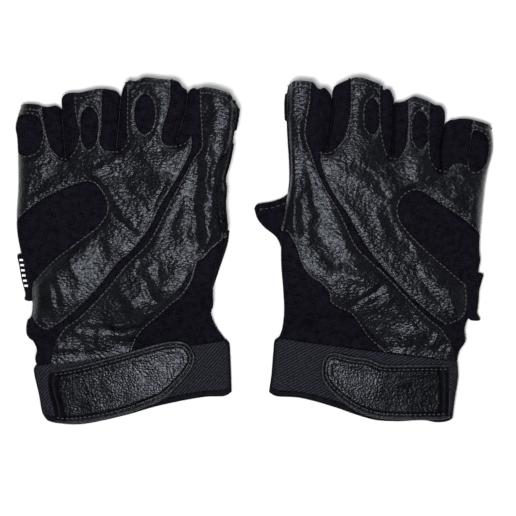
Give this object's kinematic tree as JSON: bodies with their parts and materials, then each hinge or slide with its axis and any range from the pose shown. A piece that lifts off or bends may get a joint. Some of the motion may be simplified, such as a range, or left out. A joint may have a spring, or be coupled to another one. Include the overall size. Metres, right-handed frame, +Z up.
{
  "type": "fingerless gloves",
  "caption": "Leather half-finger gloves with windows in the back, open finger and thumb stalls, and a hook-and-loop tab over an elastic cuff.",
  "frame": {"origin": "the middle of the pair's outline, on the surface that the gloves lie on", "axes": "+X from the left-hand glove to the right-hand glove, +Y towards the fingers, +Z up, away from the palms"},
  "size_m": [0.2368, 0.1728, 0.0273],
  "materials": {
    "black_leather": "pebbled, semi-gloss",
    "suede_patch": "napped, matte",
    "stretch_fabric": "matte knit",
    "lining": "matte",
    "ribbed_elastic": "ribbed twill",
    "loop_tape": "brushed pile",
    "hook_tape": "moulded hooks",
    "piping": "rolled edge",
    "label_cloth": "woven satin"
  },
  "bodies": {
    "left_hand": {"left_back_fabric": "stretch_fabric", "left_main_back_panel": "black_leather", "left_thumb_side_panel": "black_leather", "left_palm_leather": "black_leather", "left_heel_patch": "suede_patch", "left_palm_lining": "lining", "left_side_label": "label_cloth", "left_cuff_elastic_back": "ribbed_elastic", "left_cuff_elastic_palm": "ribbed_elastic", "left_cuff_binding": "ribbed_elastic", "left_loop_patch": "loop_tape", "left_tab_anchor": "black_leather", "left_thumb_gusset": "stretch_fabric"},
    "left_fingers": {"left_little_strip": "black_leather", "left_little_sleeve": "stretch_fabric", "left_ring_strip": "black_leather", "left_ring_sleeve": "stretch_fabric", "left_middle_strip": "black_leather", "left_middle_sleeve": "stretch_fabric", "left_index_strip": "black_leather", "left_index_sleeve": "stretch_fabric", "left_finger_palms": "black_leather"},
    "left_thumb": {"left_thumb_leather": "black_leather", "left_thumb_fabric": "stretch_fabric"},
    "left_tab": {"left_tab_hook": "hook_tape", "left_tab_backing": "stretch_fabric", "left_tab_leather": "black_leather", "left_tab_piping": "piping"},
    "right_hand": {"right_back_fabric": "stretch_fabric", "right_main_back_panel": "black_leather", "right_thumb_side_panel": "black_leather", "right_palm_leather": "black_leather", "right_heel_patch": "suede_patch", "right_palm_lining": "lining", "right_side_label": "label_cloth", "right_cuff_elastic_back": "ribbed_elastic", "right_cuff_elastic_palm": "ribbed_elastic", "right_cuff_binding": "ribbed_elastic", "right_loop_patch": "loop_tape", "right_tab_anchor": "black_leather", "right_thumb_gusset": "stretch_fabric"},
    "right_fingers": {"right_little_strip": "black_leather", "right_little_sleeve": "stretch_fabric", "right_ring_strip": "black_leather", "right_ring_sleeve": "stretch_fabric", "right_middle_strip": "black_leather", "right_middle_sleeve": "stretch_fabric", "right_index_strip": "black_leather", "right_index_sleeve": "stretch_fabric", "right_finger_palms": "black_leather"},
    "right_thumb": {"right_thumb_leather": "black_leather", "right_thumb_fabric": "stretch_fabric"},
    "right_tab": {"right_tab_hook": "hook_tape", "right_tab_backing": "stretch_fabric", "right_tab_leather": "black_leather", "right_tab_piping": "piping"}
  },
  "joints": [
    {"name": "left_knuckle_fold", "type": "hinge", "parent": "left_hand", "child": "left_fingers", "pos_m": [-0.065, 0.0454, 0.01848], "axis": [0.9838, 0.1229, 0.1305], "range_deg": [-30, 75]},
    {"name": "left_thumb_swing", "type": "hinge", "parent": "left_hand", "child": "left_thumb", "pos_m": [-0.03168, -0.01062, 0.0038], "axis": [0, 0, -1], "range_deg": [-8, 30]},
    {"name": "left_tab_peel", "type": "hinge", "parent": "left_hand", "child": "left_tab", "pos_m": [-0.09903, -0.07312, 0.0179], "axis": [0, -1, 0], "range_deg": [0, 120]},
    {"name": "right_knuckle_fold", "type": "hinge", "parent": "right_hand", "child": "right_fingers", "pos_m": [0.06677, 0.04112, 0.01829], "axis": [0.9582, -0.2545, -0.1305], "range_deg": [-30, 75]},
    {"name": "right_thumb_swing", "type": "hinge", "parent": "right_hand", "child": "right_thumb", "pos_m": [0.02772, 0.00528, 0.0038], "axis": [0, 0, 1], "range_deg": [-18, 18]},
    {"name": "right_tab_peel", "type": "hinge", "parent": "right_hand", "child": "right_tab", "pos_m": [0.09657, -0.07201, 0.0179], "axis": [0.008, 1, 0], "range_deg": [0, 120]},
    {"name": "right_glove_lift", "type": "slide", "parent": "left_hand", "child": "right_hand", "axis": [0, 0, 1], "range_m": [0, 0.15]}
  ]
}
